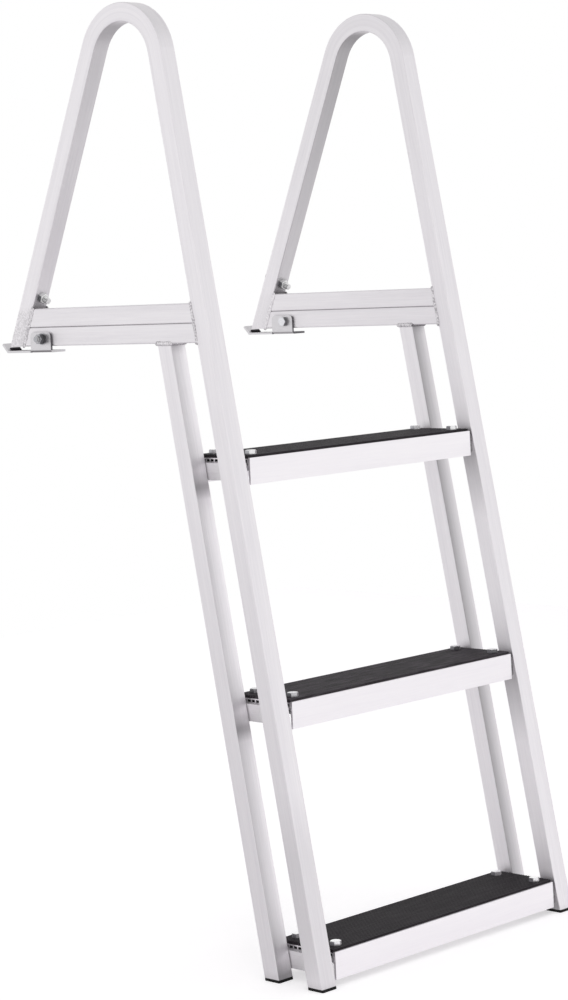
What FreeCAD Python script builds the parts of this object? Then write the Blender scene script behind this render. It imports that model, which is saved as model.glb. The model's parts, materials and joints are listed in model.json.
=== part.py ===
import FreeCAD, Part
import math
import os
from FreeCAD import Vector

os.makedirs("parts", exist_ok=True)

# Dock ladder of square aluminium tube with three steps.
# Lengths are in mm. X runs across the ladder, Y towards the dock, Z up.
# The origin lies in the middle of the underside of the left dock bracket,
# so the dock surface is the plane Z = 0 and the water side is -Y.

# Overall sizes
frame_pitch = 465.0       # centre of the left frame to centre of the right frame
rail_lean = 10.0          # degrees that the front and back rails lean out at the foot
leg_lean = 24.3           # degrees that the rear leg leans towards the dock
top_height = 456.0        # top of the hand loop above the dock
reach = 344.7             # front rail centre ahead of the bracket centre, at dock level
rail_gap = 75.2           # front rail centre to back rail centre, level

# Square tube
tube = 25.4
wall = 2.5
tube_corner = 1.6

# Arms between the rear leg and the front rail, one tube on the other
arm_bottom = 8.6          # underside of the lower arm above the dock

# Steps
step_rise = 305.0
first_step = 139.8        # top of the first step below the dock
step_count = 3
foot_below = 8.2          # underside of the feet below the bottom deck
deck_height = 34.0
deck_plate = 7.0          # double skin of the deck
skin_top = 1.6
skin_bottom = 1.2
flange = 3.0
deck_clear = 6.2          # deck end to the inner face of the rail
deck_proud = 1.0          # deck front ahead of the front rail
deck_short = 2.0          # deck back ahead of the back of the back rail
rib_pitch = 7.6
rib_wall = 2.0
lip = 1.0                 # raised nose at both long edges of the deck
mat_height = 4.2
mat_base = 3.1
mat_rib_pitch = 4.0
mat_rib = 2.2

# Angle under each end of a deck
angle_wall = 3.0
angle_width = 35.0
angle_drop = 22.0

# Bracket on the dock
plate = 3.0
plate_length = 92.0
plate_width = 25.4
bend = 1.0                # inner radius where the ear is bent up
ear_length = 42.0
ear_over = 9.0            # top of the ear above its bolt
ear_corner = 6.0
heel_clear = 2.0          # end of the rear leg to the bend of the raised lip
lip_run = 11.0
pad = 1.6                 # rubber strip in the bend of the raised lip
pad_foot = 1.4
pad_rise = 3.2
pad_inset = 2.7           # from the plane of the ear's inner face
pad_width = 17.0
screw_hole = 7.0
screw_edge = 18.0         # screw to the end of the flat plate
screw_sink = 10.6         # mouth of the countersink

# Fasteners
m8 = dict(shank=8.0, flats=13.0, head=5.3, nut=6.5, washer=16.0, washer_t=1.6)
hole_clear = 0.25
drill_reach = 30.0        # half the length of a drilled cut, more than any piece it crosses
bracket_thread = 4.0      # thread that stands out of each nut
leg_thread = 8.5
deck_thread = 2.5
deck_bolt_in = 25.0       # from the inner face of the rail
deck_bolt_edge = 16.5     # from the long edge of the deck
arm_bolt_drop = 2.8       # bracket bolt below the middle of the lower arm
arm_bolt_ahead = 4.0      # and ahead of the middle of the ear
leg_bolt_over = 20.6      # leg bolt above the top of the upper arm

# Plastic ends
foot_cap = 3.6
plug_depth = 14.0
cap_clear = 0.15

half = tube / 2.0
bore = half - wall
rail_slope = math.tan(math.radians(rail_lean))
leg_slope = math.tan(math.radians(leg_lean))
rail_half = half / math.cos(math.radians(rail_lean))
leg_half = half / math.cos(math.radians(leg_lean))
arm_middle = arm_bottom + tube
arm_top = arm_bottom + 2.0 * tube
frames = {"left": 0.0, "right": frame_pitch}
steps = ["top", "middle", "bottom"][:step_count]

# Sizes that follow from those above
leg_back = plate_length / 2.0 - heel_clear - leg_half + leg_slope * arm_bottom
leg_bolt_height = arm_top + leg_bolt_over
bracket_bolt_z = arm_bottom + half - arm_bolt_drop
bracket_bolt_y = -plate_length / 2.0 + ear_length / 2.0 - arm_bolt_ahead
ear_top = bracket_bolt_z + ear_over
screw_spacing = plate_length - 2.0 * screw_edge
deck_depth = deck_proud + 2.0 * rail_half + rail_gap - deck_short
foot_depth = first_step + (step_count - 1) * step_rise + deck_height + foot_below


def front_y(z):
    """Centre line of the front rail."""
    return -reach + rail_slope * z


def back_y(z):
    """Centre line of the back rail."""
    return front_y(z) + rail_gap


def leg_y(z):
    """Centre line of the rear leg."""
    return leg_back - leg_slope * z


def save(name, shape):
    if not shape.isValid():
        print("not valid:", name)
    shape.exportStep("parts/" + name + ".step")
    box = shape.BoundBox
    print("%-22s solids %d  volume %9.0f  x %.1f..%.1f  y %.1f..%.1f  z %.1f..%.1f" % (
        name, len(shape.Solids), shape.Volume, box.XMin, box.XMax, box.YMin, box.YMax, box.ZMin, box.ZMax))


def together(shapes):
    if len(shapes) == 1:
        return shapes[0]
    return Part.makeCompound(shapes)


def side_plate(points, x0, x1):
    """A polygon of (y, z) points drawn from x0 to x1."""
    ring = [Vector(x0, y, z) for y, z in points]
    face = Part.Face(Part.makePolygon(ring + ring[:1]))
    return face.extrude(Vector(x1 - x0, 0, 0))


def box(x0, x1, y0, y1, z0, z1):
    return Part.makeBox(x1 - x0, y1 - y0, z1 - z0, Vector(x0, y0, z0))


def rod(start, direction, radius, length):
    return Part.makeCylinder(radius, length, start, direction)


def hexagon(start, direction, flats, length):
    """A hexagonal prism from start along a direction, one flat square to a plane through X."""
    axis = Vector(direction)
    axis.normalize()
    across = Vector(1, 0, 0)
    if abs(axis.x) > 0.9:
        across = Vector(0, 0, 1)
    across = across.cross(axis)
    across.normalize()
    other = axis.cross(across)
    radius = flats / math.sqrt(3.0)
    ring = []
    for i in range(6):
        turn = math.radians(60.0 * i)
        ring.append(start + across * (radius * math.cos(turn)) + other * (radius * math.sin(turn)))
    prism = Part.Face(Part.makePolygon(ring + ring[:1])).extrude(axis * length)
    # the corners of the outer end are turned off at 30 degrees as on a real head
    end_radius = 0.48 * flats
    cone = Part.makeCone(end_radius + length * math.tan(math.radians(60)), end_radius, length, start, axis)
    return prism.common(cone)


def drill(point, direction):
    """The cut of a bolt hole, centred on a point."""
    start = point - direction * drill_reach
    return rod(start, direction, m8["shank"] / 2 + hole_clear, 2 * drill_reach)


def bolt_and_nut(head_seat, along, grip, thread, washer=True):
    """A hexagon-headed bolt with its nut: the head sits at head_seat, the shank runs along a direction
    through what it grips, and the thread stands out of the nut."""
    nut_seat = head_seat + along * grip
    pieces = []
    if washer:
        pieces.append(rod(nut_seat, along, m8["washer"] / 2, m8["washer_t"]))
        nut_seat = nut_seat + along * m8["washer_t"]
    pieces.append(hexagon(nut_seat, along, m8["flats"], m8["nut"]))
    length = (nut_seat - head_seat).Length + m8["nut"] + thread
    pieces.append(rod(head_seat, along, m8["shank"] / 2, length))
    return hexagon(head_seat, along * -1, m8["flats"], m8["head"]).fuse(pieces).removeSplitter()


def rounded(shape, chooser, radius):
    """Round the edges that the chooser picks."""
    edges = [e for e in shape.Edges if chooser(e)]
    return shape.makeFillet(radius, edges)


def long_edges(length, keep=lambda e: True):
    return lambda e: e.Length > length and keep(e)


# Bent rail: front rail, hand loop and rear leg are one tube
def loop_geometry():
    """Radius and centre of the loop that touches both straight runs."""
    apex_z = (leg_back + reach) / (rail_slope + leg_slope)
    apex_y = front_y(apex_z)
    a = math.radians(rail_lean)
    b = math.radians(leg_lean)
    opening = math.sin((a + b) / 2.0)
    down = Vector(0, math.sin(b) - math.sin(a), -math.cos(a) - math.cos(b))
    down.normalize()
    run = (apex_z - (top_height - half)) / (-down.z - opening)
    centre = Vector(0, apex_y, apex_z) + down * run
    return centre, run * opening


loop_centre, loop_radius = loop_geometry()
print("loop radius %.1f centre y %.1f z %.1f" % (loop_radius, loop_centre.y, loop_centre.z))


def hairpin(inset, x0, x1, front_end, leg_end):
    """The rail's outline in the side view, drawn from x0 to x1.
    inset is half the width, the ends are level cuts at the two heights."""
    a = math.radians(rail_lean)
    b = math.radians(leg_lean)

    def front(side, z):
        return Vector(x0, front_y(z) + side * inset / math.cos(a), z)

    def rear(side, z):
        return Vector(x0, leg_y(z) + side * inset / math.cos(b), z)

    def on_arc(radius, angle):
        y = loop_centre.y + radius * math.cos(angle)
        z = loop_centre.z + radius * math.sin(angle)
        return Vector(x0, y, z)

    def arc(radius):
        start = math.pi - a
        end = b
        return on_arc(radius, start), on_arc(radius, (start + end) / 2.0), on_arc(radius, end)

    out0, out1, out2 = arc(loop_radius + inset)
    in0, in1, in2 = arc(loop_radius - inset)
    edges = [
        Part.makeLine(front(-1, front_end), out0),
        Part.Arc(out0, out1, out2).toShape(),
        Part.makeLine(out2, rear(1, leg_end)),
        Part.makeLine(rear(1, leg_end), rear(-1, leg_end)),
        Part.makeLine(rear(-1, leg_end), in2),
        Part.Arc(in2, in1, in0).toShape(),
        Part.makeLine(in0, front(1, front_end)),
        Part.makeLine(front(1, front_end), front(-1, front_end)),
    ]
    return Part.Face(Part.Wire(edges)).extrude(Vector(x1 - x0, 0, 0))


def straight(centre, lean, inset, x0, x1, z0, z1):
    """A leaning tube run with level ends."""
    reach_y = inset / math.cos(math.radians(lean))
    points = [(centre(z0) - reach_y, z0), (centre(z0) + reach_y, z0),
              (centre(z1) + reach_y, z1), (centre(z1) - reach_y, z1)]
    return side_plate(points, x0, x1)


across = Vector(1, 0, 0)
up = Vector(0, 0, 1)
leg_normal = Vector(0, -math.cos(math.radians(leg_lean)), -math.sin(math.radians(leg_lean)))
leg_bolt_at = Vector(0, leg_y(leg_bolt_height), leg_bolt_height)


def deck_tops():
    for i, name in enumerate(steps):
        yield name, -first_step - i * step_rise


def deck_front(z):
    return front_y(z) - rail_half - deck_proud


def deck_bolt_points(z):
    front = deck_front(z)
    for x in (half + deck_bolt_in, frame_pitch - half - deck_bolt_in):
        for y in (front + deck_bolt_edge, front + deck_depth - deck_bolt_edge):
            yield x, y


for side, x in frames.items():
    x0, x1 = x - half, x + half
    foot_cut = -foot_depth + foot_cap

    # Front rail, loop and rear leg
    outer = hairpin(half, x0, x1, foot_cut, arm_bottom)
    outer = rounded(outer, long_edges(150, lambda e: abs(e.CenterOfMass.x - x) > half - 0.1), tube_corner)
    inner = hairpin(bore, x - bore, x + bore, foot_cut - 5, arm_bottom - 5)
    leg_bolt_centre = leg_bolt_at + Vector(x, 0, 0)
    save(side + "_rail", outer.cut(inner).cut(drill(leg_bolt_centre, leg_normal)))

    # Back rail, from the feet up to the underside of the lower arm
    outer = straight(back_y, rail_lean, half, x0, x1, foot_cut, arm_bottom)
    outer = rounded(outer, long_edges(150), tube_corner)
    inner = straight(back_y, rail_lean, bore, x - bore, x + bore, foot_cut - 5, arm_bottom + 5)
    save(side + "_back_rail", outer.cut(inner))

    # Arms, cut to the slope of the leg and of the rail
    bracket_bolt_centre = Vector(x, bracket_bolt_y, bracket_bolt_z)
    for name, low in (("lower_arm", arm_bottom), ("upper_arm", arm_middle)):
        high = low + tube

        def run(z0, z1, extra, a0, a1):
            points = [(front_y(z0) + rail_half - extra, z0), (leg_y(z0) - leg_half + extra, z0),
                      (leg_y(z1) - leg_half + extra, z1), (front_y(z1) + rail_half - extra, z1)]
            return side_plate(points, a0, a1)

        arm = rounded(run(low, high, 0, x0, x1), long_edges(150), tube_corner)
        arm = arm.cut(run(low + wall, high - wall, 10, x - bore, x + bore))
        if name == "lower_arm":
            arm = arm.cut(drill(bracket_bolt_centre, across))
        save(side + "_" + name, arm)

    # Plastic feet under the rails, and the plastic plug in the end of the rear leg
    inside = bore - cap_clear

    def plug(centre, lean, z_low):
        return straight(centre, lean, inside, x - inside, x + inside, z_low, z_low + plug_depth)

    def foot(centre):
        sole = straight(centre, rail_lean, half, x0, x1, -foot_depth, foot_cut)
        sole = rounded(sole, lambda e: abs(e.tangentAt(e.FirstParameter).z) > 0.5, tube_corner)
        return sole.fuse(plug(centre, rail_lean, foot_cut)).removeSplitter()

    save(side + "_front_foot", foot(front_y))
    save(side + "_back_foot", foot(back_y))
    save(side + "_leg_plug", plug(leg_y, -leg_lean, arm_bottom))

    # Bracket bent from plate: an ear on the left side of the lower arm, a flat plate on the dock
    # and a raised lip behind it
    ear_face = x - half - plate
    plate_edge = ear_face + plate_width
    y0, y1 = -plate_length / 2, plate_length / 2
    ear = box(ear_face, x - half, y0, y0 + ear_length, 0, ear_top)
    ear = rounded(ear, lambda e: abs(e.tangentAt(e.FirstParameter).x) > 0.9
                  and e.CenterOfMass.z > ear_top - 0.1, ear_corner)
    bent = ear.fuse(box(ear_face, plate_edge, y0, y0 + ear_length, 0, plate)).removeSplitter()
    bent = rounded(bent, lambda e: e.Length > ear_length - 1 and abs(e.CenterOfMass.x - (x - half)) < 0.1
                   and abs(e.CenterOfMass.z - plate) < 0.1, bend)
    bent = rounded(bent, lambda e: e.Length > ear_length - 1 and abs(e.CenterOfMass.x - ear_face) < 0.1
                   and e.CenterOfMass.z < 0.1, plate + bend)
    tail = box(ear_face, plate_edge, y0 + ear_length, y1, 0, plate)
    crook = y1 - plate * math.tan(math.radians(22.5))
    edge = plate / math.sqrt(2.0)
    raised = side_plate([(y1, 0), (y1 + lip_run, lip_run), (y1 + lip_run - edge, lip_run + edge),
                         (crook, plate), (crook, 0)], ear_face, plate_edge)
    bracket = bent.fuse([tail, raised]).removeSplitter()
    bracket = bracket.cut(drill(bracket_bolt_centre, across))
    for y in (-screw_spacing / 2, screw_spacing / 2):
        bracket = bracket.cut(rod(Vector(x, y, -1), Vector(0, 0, 1), screw_hole / 2, plate + 2))
        sink = (screw_sink - screw_hole) / 2
        bracket = bracket.cut(Part.makeCone(screw_hole / 2, screw_sink / 2 + 0.2, sink + 0.2,
                                            Vector(x, y, plate - sink), Vector(0, 0, 1)))
    save(side + "_bracket", bracket)

    # Rubber strip that keeps the heel of the leg off the raised lip
    pad_up = pad / math.sqrt(2.0)
    pad_crook = crook - pad * math.tan(math.radians(22.5))
    save(side + "_lip_pad", side_plate([(crook - pad_foot, plate), (crook, plate),
                                        (crook + pad_rise, plate + pad_rise),
                                        (crook + pad_rise - pad_up, plate + pad_rise + pad_up),
                                        (pad_crook, plate + pad), (crook - pad_foot, plate + pad)],
                                       x - half + pad_inset, x - half + pad_inset + pad_width))

    # Bolt of the bracket: on the left frame its nut is on the ear, on the right frame its head
    if side == "left":
        head_seat = Vector(x + half, bracket_bolt_y, bracket_bolt_z)
        along = across * -1
    else:
        head_seat = Vector(ear_face, bracket_bolt_y, bracket_bolt_z)
        along = across
    save(side + "_bracket_bolt", bolt_and_nut(head_seat, along, tube + plate, bracket_thread))

    # Bolt of the rear leg: head at the back, nut and thread at the front
    head_seat = leg_bolt_centre - leg_normal * half
    save(side + "_leg_bolt", bolt_and_nut(head_seat, leg_normal, tube, leg_thread, washer=False))

    # Angles that carry the decks
    inward = 1.0 if side == "left" else -1.0
    inner_face = x + inward * half
    for name, z in deck_tops():
        y0 = deck_front(z) + deck_proud + flange + 1.0
        y1 = deck_front(z) + deck_depth - flange - 1.0
        under = z - deck_plate

        def wing(width, low):
            near, far = sorted((inner_face, inner_face + inward * width))
            return box(near, far, y0, y1, low, under)

        angle = wing(angle_wall, under - angle_drop)
        angle = angle.fuse(wing(angle_width, under - angle_wall)).removeSplitter()
        for bx, by in deck_bolt_points(z):
            angle = angle.cut(drill(Vector(bx, by, under), up))
        save(side + "_" + name + "_angle", angle)


for name, z in deck_tops():
    x0 = half + deck_clear
    x1 = frame_pitch - half - deck_clear
    front = deck_front(z)
    back = front + deck_depth

    # Deck, an extrusion with a chambered top plate and two flanges
    deck = side_plate([(front, z), (front + flange, z), (front + flange, z - lip), (back - flange, z - lip),
                       (back - flange, z), (back, z), (back, z - deck_height),
                       (back - flange, z - deck_height),
                       (back - flange, z - deck_plate), (front + flange, z - deck_plate),
                       (front + flange, z - deck_height), (front, z - deck_height)], x0, x1)
    chamber_top = z - lip - skin_top
    chamber_bottom = z - deck_plate + skin_bottom
    clear_depth = deck_depth - 2 * flange
    count = int(clear_depth // rib_pitch)
    first = front + flange + (clear_depth - count * rib_pitch) / 2 + rib_wall / 2
    for i in range(count):
        y = first + i * rib_pitch
        deck = deck.cut(box(x0 - 1, x1 + 1, y, y + rib_pitch - rib_wall, chamber_bottom, chamber_top))

    # Ribbed mat lying between the two raised noses
    mat_front = front + flange + 0.2
    mat_back = back - flange - 0.2
    base = z - lip
    outline = [(mat_front, base), (mat_front, base + mat_height)]
    ribs = int((mat_back - mat_front - mat_rib) // mat_rib_pitch)
    pitch = (mat_back - mat_front - mat_rib) / ribs
    for i in range(ribs):
        y = mat_front + i * pitch
        outline += [(y + mat_rib, base + mat_height), (y + mat_rib + 0.3, base + mat_base),
                    (y + pitch - 0.3, base + mat_base), (y + pitch, base + mat_height)]
    outline += [(mat_back, base + mat_height), (mat_back, base)]
    mat = side_plate(outline, x0, x1)

    # Bolts through mat, deck and angle
    bolts = []
    top = base + mat_height
    grip = mat_height - lip + deck_plate + angle_wall
    for bx, by in deck_bolt_points(z):
        deck = deck.cut(drill(Vector(bx, by, z), up))
        mat = mat.cut(drill(Vector(bx, by, z), up))
        bolts.append(bolt_and_nut(Vector(bx, by, top), up * -1, grip, deck_thread))
    save(name + "_deck", deck)
    save(name + "_mat", mat)
    save(name + "_step_bolts", together(bolts))
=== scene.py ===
# %% [markdown]
# # An aluminium dock ladder
# The ladder hangs on the edge of a dock: two bent rails of square tube make the hand loops, and
# flat steps with black ribbed mats lie between them. The solid shapes come from a CAD model, which
# this file loads as a fixed frame. What is left to do here is what makes it look real: the brushed
# metal, the rubber, the weld beads, the screw threads, the light and the camera.

# %% Load the frame
import json
import math
import random
import bpy
from mathutils import Matrix, Vector

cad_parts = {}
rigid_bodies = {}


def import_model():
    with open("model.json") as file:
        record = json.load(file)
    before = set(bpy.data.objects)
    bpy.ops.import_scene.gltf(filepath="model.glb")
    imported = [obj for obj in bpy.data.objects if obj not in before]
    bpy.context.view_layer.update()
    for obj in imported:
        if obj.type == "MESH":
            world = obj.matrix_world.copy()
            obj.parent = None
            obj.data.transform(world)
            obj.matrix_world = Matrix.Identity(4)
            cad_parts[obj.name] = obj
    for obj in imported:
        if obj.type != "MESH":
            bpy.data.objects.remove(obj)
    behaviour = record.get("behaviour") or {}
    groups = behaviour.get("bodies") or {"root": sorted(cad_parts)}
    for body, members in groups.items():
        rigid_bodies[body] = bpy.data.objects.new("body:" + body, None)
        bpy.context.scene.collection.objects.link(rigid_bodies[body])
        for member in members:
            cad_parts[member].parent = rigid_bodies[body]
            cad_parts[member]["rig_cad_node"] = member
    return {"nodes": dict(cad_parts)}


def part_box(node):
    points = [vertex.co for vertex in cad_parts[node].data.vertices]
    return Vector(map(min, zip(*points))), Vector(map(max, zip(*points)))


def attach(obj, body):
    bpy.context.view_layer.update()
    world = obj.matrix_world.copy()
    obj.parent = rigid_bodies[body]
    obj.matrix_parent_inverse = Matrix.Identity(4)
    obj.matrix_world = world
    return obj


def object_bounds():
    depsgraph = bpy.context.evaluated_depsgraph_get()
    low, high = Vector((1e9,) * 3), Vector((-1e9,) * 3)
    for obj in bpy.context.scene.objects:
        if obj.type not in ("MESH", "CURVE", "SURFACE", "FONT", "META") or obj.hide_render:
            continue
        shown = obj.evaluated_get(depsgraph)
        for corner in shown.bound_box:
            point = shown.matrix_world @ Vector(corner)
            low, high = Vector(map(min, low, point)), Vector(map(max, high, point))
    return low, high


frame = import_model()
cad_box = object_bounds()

print("CAD nodes:", len(frame["nodes"]))
print("CAD box in metres:", [[round(v, 4) for v in corner] for corner in cad_box])

# %% [markdown]
# ## The camera
# The ladder is seen from its left front corner, with the lens 10 cm above the dock, from three and a
# half metres away. Most of the ladder lies below the lens, so the camera looks level and its view is
# shifted down, as on a view camera. That keeps upright lines parallel.

# %% Camera
IMAGE_HEIGHT = 1000.0
azimuth, elevation, roll = math.radians(-45.29), math.radians(-0.31), math.radians(-2.86)
distance = 3.539
focal_pixels = 2600.0
axis_row = 250.0                             # the picture row that lies level with the lens
looked_at = Vector((0.2325, -0.2515, 0.1225))

back = Vector((math.sin(azimuth) * math.cos(elevation), -math.cos(azimuth) * math.cos(elevation),
               math.sin(elevation)))
level = Vector((math.cos(azimuth), math.sin(azimuth), 0.0))
upright = back.cross(level)
right = math.cos(roll) * level + math.sin(roll) * upright
up = back.cross(right)

bpy.ops.object.camera_add()
camera = bpy.context.object
camera.name = "camera"
turned = Matrix((right, up, back)).transposed().to_4x4()
camera.matrix_world = Matrix.Translation(looked_at + back * distance) @ turned
camera.data.sensor_width = 36.0
camera.data.lens = focal_pixels / IMAGE_HEIGHT * camera.data.sensor_width
camera.data.shift_y = (axis_row - IMAGE_HEIGHT / 2) / IMAGE_HEIGHT
camera.data.clip_end = 50.0
bpy.context.scene.camera = camera
print("lens %.1f mm, shift %.3f" % (camera.data.lens, camera.data.shift_y))

# %% [markdown]
# ## Helpers for materials
# Colours are written as a painter picks them, in sRGB hex, and one function turns them to the linear
# values that the shader works in. A second function adds any node with its settings and its links.

# %% Colour and node helpers
def linear(hex_colour):
    """sRGB hex to linear RGBA."""
    parts = [int(hex_colour.lstrip("#")[i:i + 2], 16) / 255.0 for i in (0, 2, 4)]
    return tuple(p / 12.92 if p <= 0.04045 else ((p + 0.055) / 1.055) ** 2.4 for p in parts) + (1.0,)


def add(tree, kind, inputs=(), **settings):
    """Add a node. An input is given a value, a socket, or a node whose first output it takes."""
    made = tree.nodes.new(kind)
    for name, value in settings.items():
        setattr(made, name, value)
    for key, value in dict(inputs).items():
        if isinstance(value, bpy.types.Node):
            value = value.outputs[0]
        if isinstance(value, bpy.types.NodeSocket):
            tree.links.new(value, made.inputs[key])
        else:
            made.inputs[key].default_value = value
    return made


def new_material(name, **values):
    """A material with its shader and output, and the values that are the same all over."""
    made = bpy.data.materials.new(name)
    made.use_nodes = True
    made.node_tree.nodes.clear()
    shader = add(made.node_tree, "ShaderNodeBsdfPrincipled")
    for key, value in values.items():
        shader.inputs[key.replace("_", " ")].default_value = value
    add(made.node_tree, "ShaderNodeOutputMaterial", {"Surface": shader})
    return made, made.node_tree, shader


# %% [markdown]
# ## Drawing lines on the tube
# The rails and arms are 25.4 mm drawn aluminium tube as the mill delivers it: a pale, slightly rough
# metal with faint drawing lines along the tube. Drawing lines are noise that is stretched along the
# tube, so the pattern needs to know which way each tube runs. A straight tube only needs its
# coordinates turned by its lean. The bent rail runs up, round the hand loop and down again, so its
# pattern counts how far a point lies from the middle of the loop, or from the line that the run follows.
# Real drawing lines are about a tenth of a millimetre wide, which is finer than a pixel here, so they
# are drawn about 1.5 mm wide. The rear legs also carry small hammer marks beside their weld, most of
# them on the left, and painted shade darkens the hollows of the dents.

# %% Coordinates along the tubes
RAIL_LEAN = math.radians(10.0)
LEG_LEAN = math.radians(24.3)
LOOP_MIDDLE = (0.0, -0.2098, 0.3757)
LINE_WIDTH, LINE_LENGTH = 0.0015, 0.060
LINES_ALONG_Z = (1 / LINE_WIDTH, 1 / LINE_WIDTH, 1 / LINE_LENGTH)
LINES_ALONG_X = (1 / LINE_LENGTH, 1 / LINE_WIDTH, 1 / LINE_WIDTH)


def along_straight(tree, lean):
    """Coordinates of a straight tube, counted in line widths across it and line lengths along it."""
    place = add(tree, "ShaderNodeTexCoord").outputs["Object"]
    turned = add(tree, "ShaderNodeVectorRotate", {"Vector": place, "Angle": lean}, rotation_type="X_AXIS")
    return add(tree, "ShaderNodeVectorMath", {0: turned, 1: LINES_ALONG_Z}, operation="MULTIPLY")


def along_rail(tree):
    """Coordinates of a straight tube that leans with the rails."""
    return along_straight(tree, RAIL_LEAN)


def along_level(tree):
    """Coordinates of a tube or angle that lies level and points to the dock."""
    return along_straight(tree, math.radians(90))


def along_bent(tree):
    """Coordinates of the bent rail. Across it they count the distance from the loop's middle or, below
    the loop, from a line through that middle that follows the run."""
    place = add(tree, "ShaderNodeTexCoord").outputs["Object"]
    from_loop = add(tree, "ShaderNodeVectorMath", {0: place, 1: LOOP_MIDDLE}, operation="SUBTRACT")

    def out_from(run_up, outward):
        out = add(tree, "ShaderNodeVectorMath", {0: from_loop, 1: outward}, operation="DOT_PRODUCT")
        past = add(tree, "ShaderNodeVectorMath", {0: from_loop, 1: run_up}, operation="DOT_PRODUCT")
        in_loop = add(tree, "ShaderNodeMath", {0: past.outputs["Value"], 1: 0.0}, operation="MAXIMUM")
        pair = add(tree, "ShaderNodeCombineXYZ", {0: out.outputs["Value"], 1: in_loop})
        return add(tree, "ShaderNodeVectorMath", {0: pair}, operation="LENGTH").outputs["Value"]

    front = out_from((0.0, math.sin(RAIL_LEAN), math.cos(RAIL_LEAN)),
                     (0.0, -math.cos(RAIL_LEAN), math.sin(RAIL_LEAN)))
    leg = out_from((0.0, -math.sin(LEG_LEAN), math.cos(LEG_LEAN)),
                   (0.0, math.cos(LEG_LEAN), math.sin(LEG_LEAN)))
    parts = add(tree, "ShaderNodeSeparateXYZ", {0: from_loop})
    is_leg = add(tree, "ShaderNodeMath", {0: parts.outputs[1], 1: 0.0}, operation="GREATER_THAN")
    out = add(tree, "ShaderNodeMix", {0: is_leg, 2: front, 3: leg}, data_type="FLOAT")
    unrolled = add(tree, "ShaderNodeCombineXYZ", {0: parts.outputs[0], 1: out, 2: parts.outputs[2]})
    return add(tree, "ShaderNodeVectorMath", {0: unrolled, 1: LINES_ALONG_Z}, operation="MULTIPLY")


def across_ladder(tree):
    """Coordinates of a piece whose drawing lines run along X."""
    place = add(tree, "ShaderNodeTexCoord").outputs["Object"]
    return add(tree, "ShaderNodeVectorMath", {0: place, 1: LINES_ALONG_X}, operation="MULTIPLY")


# %% [markdown]
# ## Painted shade in corners
# Painted shade darkens the colour in corners: under the decks, in the open ends of the extrusions,
# between two tubes. An ambient occlusion node measures how much of the space near a point is open, so
# one helper turns it into a share that multiplies the colour. It depends only on the shape, so it
# stays where it is from every side.
#
# More painted shade darkens the front faces of the back rails, most along their left edge, and those
# of the right rear leg and the insides of the hand loops, while painted light brightens those of the
# left rear leg a little. A painted shadow falls on some faces under each step. Towards the feet painted
# shade darkens the left front rail and painted light brightens the right rails' inner faces. A few more
# helpers give those shares, from the place and the normal of a face. Each finish lists the helpers
# that it uses, with their values.

# %% Painted shade from occlusion
def occlusion_shade(tree, reach, darkest):
    """Painted shade: 1 in the open, and down to the darkest share in a crevice. reach is how far it looks,
    in metres.
    """
    near = add(tree, "ShaderNodeAmbientOcclusion", {"Distance": reach}, samples=8)
    return add(tree, "ShaderNodeMapRange", {0: near.outputs["AO"], 1: 0.12, 2: 0.85, 3: darkest, 4: 1.0})


# %% Painted shade and light on faces
RIGHT_FRAME = 0.465                          # X of the right frame's middle; the left one's is 0
BETWEEN_FRAMES = RIGHT_FRAME / 2
LEFT_TO_RIGHT = {1: 0.2, 2: 0.3}             # ends of a map range in X, for a value that differs by frame
HALF = 0.0127                                # half of the tube
FRONT_RAIL = -0.3447                         # Y of the front rails' middle at the height of the dock
BEHIND_RAIL = 0.03                           # how far behind that the painted shade on the front faces begins
LOOP_START, LOOP_END = 0.06, 0.38            # heights between which their painted shade deepens
STEP_RISE = 0.305
TOP_DECK = -0.1560                           # height halfway up the top deck
HALF_DECK = 0.018                            # from there to the deck's underside
LEFTWARD, FORWARD = 0, 1                     # faces that look against X, and against Y


def painted_shade_front(tree, left, right, upper):
    """Painted shade, with a little painted light, on the faces that look forward behind the front rails:
    the share of the colour that is left there. left and right give it at the two edges of such a face,
    for each frame, and upper multiplies it near the hand loop."""
    place = add(tree, "ShaderNodeSeparateXYZ", {0: add(tree, "ShaderNodeTexCoord").outputs["Object"]})
    facing = add(tree, "ShaderNodeSeparateXYZ", {0: add(tree, "ShaderNodeNewGeometry").outputs["Normal"]})
    on_left = add(tree, "ShaderNodeMapRange", {0: place.outputs[0], 1: -HALF, 2: HALF,
                                               3: left[0], 4: left[1]})
    on_right = add(tree, "ShaderNodeMapRange", {0: place.outputs[0], 1: RIGHT_FRAME - HALF,
                                                2: RIGHT_FRAME + HALF, 3: right[0], 4: right[1]})
    is_right = add(tree, "ShaderNodeMath", {0: place.outputs[0], 1: BETWEEN_FRAMES},
                   operation="GREATER_THAN")
    edge_to_edge = add(tree, "ShaderNodeMix", {0: is_right, 2: on_left, 3: on_right}, data_type="FLOAT")
    rising = add(tree, "ShaderNodeMapRange", {0: place.outputs[2], 1: LOOP_START, 2: LOOP_END,
                                              3: 1.0, 4: upper})
    share = add(tree, "ShaderNodeMath", {0: edge_to_edge, 1: rising}, operation="MULTIPLY")
    # a point lies behind the front rail where this sum is above the rail's own
    lean = add(tree, "ShaderNodeMath", {0: place.outputs[2], 1: -math.tan(RAIL_LEAN), 2: place.outputs[1]},
               operation="MULTIPLY_ADD")
    behind = add(tree, "ShaderNodeMath", {0: lean, 1: FRONT_RAIL + BEHIND_RAIL}, operation="GREATER_THAN")
    # in the loop the faces that look down count as well
    turned = add(tree, "ShaderNodeMath", {0: facing.outputs[2], 1: 0.35, 2: facing.outputs[1]},
                 operation="MULTIPLY_ADD")
    forward = add(tree, "ShaderNodeMapRange", {0: turned, 1: -0.30, 2: -0.70, 3: 0.0, 4: 1.0})
    amount = add(tree, "ShaderNodeMath", {0: behind, 1: forward}, operation="MULTIPLY")
    return add(tree, "ShaderNodeMix", {0: amount, 2: 1.0, 3: share}, data_type="FLOAT")


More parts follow.
